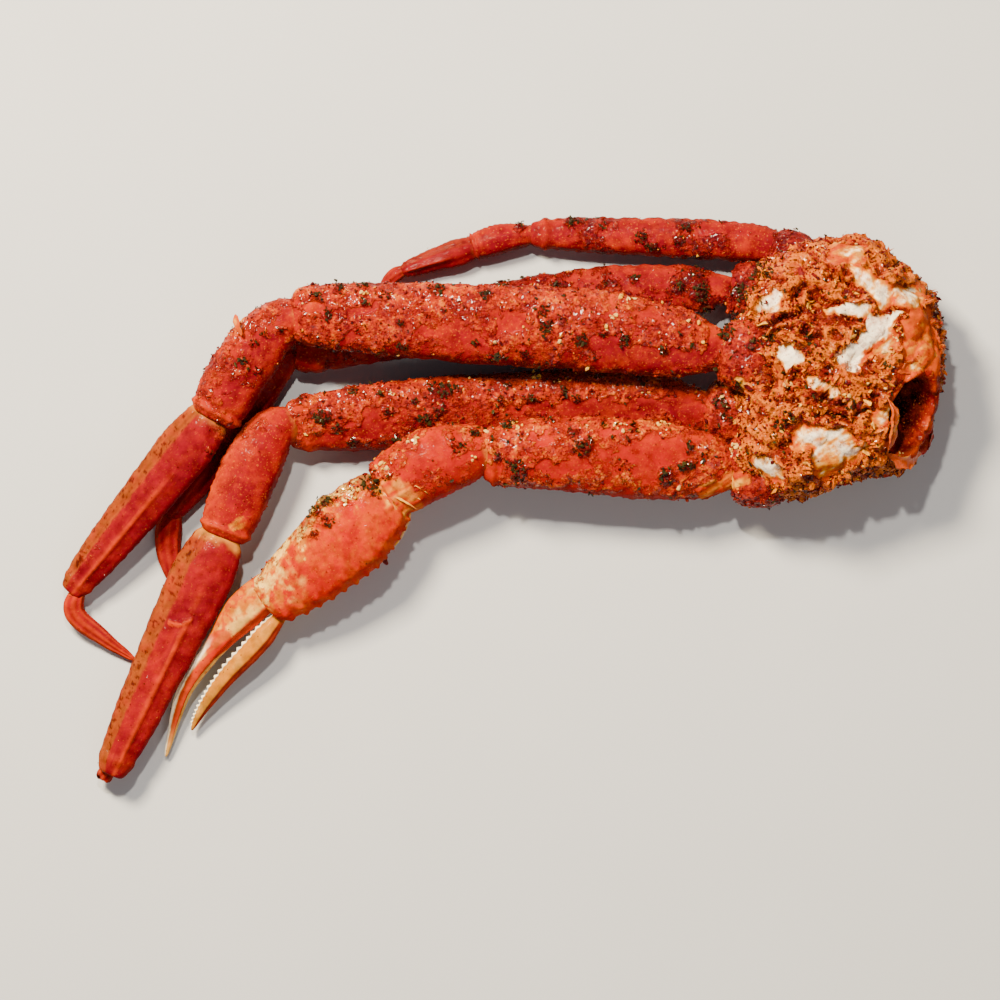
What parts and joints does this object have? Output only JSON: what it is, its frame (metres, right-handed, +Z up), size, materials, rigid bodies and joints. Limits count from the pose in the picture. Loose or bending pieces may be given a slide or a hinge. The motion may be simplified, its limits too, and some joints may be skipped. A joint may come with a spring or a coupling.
{
  "type": "snow crab cluster",
  "caption": "Cooked snow crab cluster lying flat: a crusted shoulder with a claw arm and walking legs, bent at the wrist joints, sprinkled with seasoning and herbs.",
  "frame": {"origin": "middle of the whole cluster's box in X and Y, on the surface that it rests on", "axes": "+X along the long upper segments, from the limb tips towards the shoulder; +Y from the claw arm's side towards the rear leg's side; +Z up"},
  "size_m": [0.2326, 0.1514, 0.0361],
  "materials": {
    "membrane": "damp, crusted with seasoning",
    "red_shell": "wet cooked shell",
    "claw_shell": "wet cooked shell",
    "finger_shell": "smooth pale shell"
  },
  "bodies": {
    "root": {"shoulder": "membrane", "arm_ischium": "membrane", "arm_merus": "claw_shell", "arm_carpus": "claw_shell", "arm_palm": "claw_shell", "arm_finger": "finger_shell", "leg1_ischium": "membrane", "leg1_merus": "red_shell", "leg1_carpus": "red_shell", "leg1_propodus": "red_shell", "leg1_dactyl": "red_shell", "leg2_ischium": "membrane", "leg2_merus": "red_shell", "leg2_carpus": "red_shell", "leg2_propodus": "red_shell", "leg2_dactyl": "red_shell", "leg3_ischium": "membrane", "leg3_merus": "red_shell", "leg3_carpus": "red_shell", "leg3_propodus": "red_shell", "leg3_dactyl": "red_shell", "leg4_ischium": "membrane", "leg4_merus": "red_shell", "leg4_carpus": "red_shell", "leg4_propodus": "red_shell", "leg4_dactyl": "red_shell"}
  },
  "joints": []
}
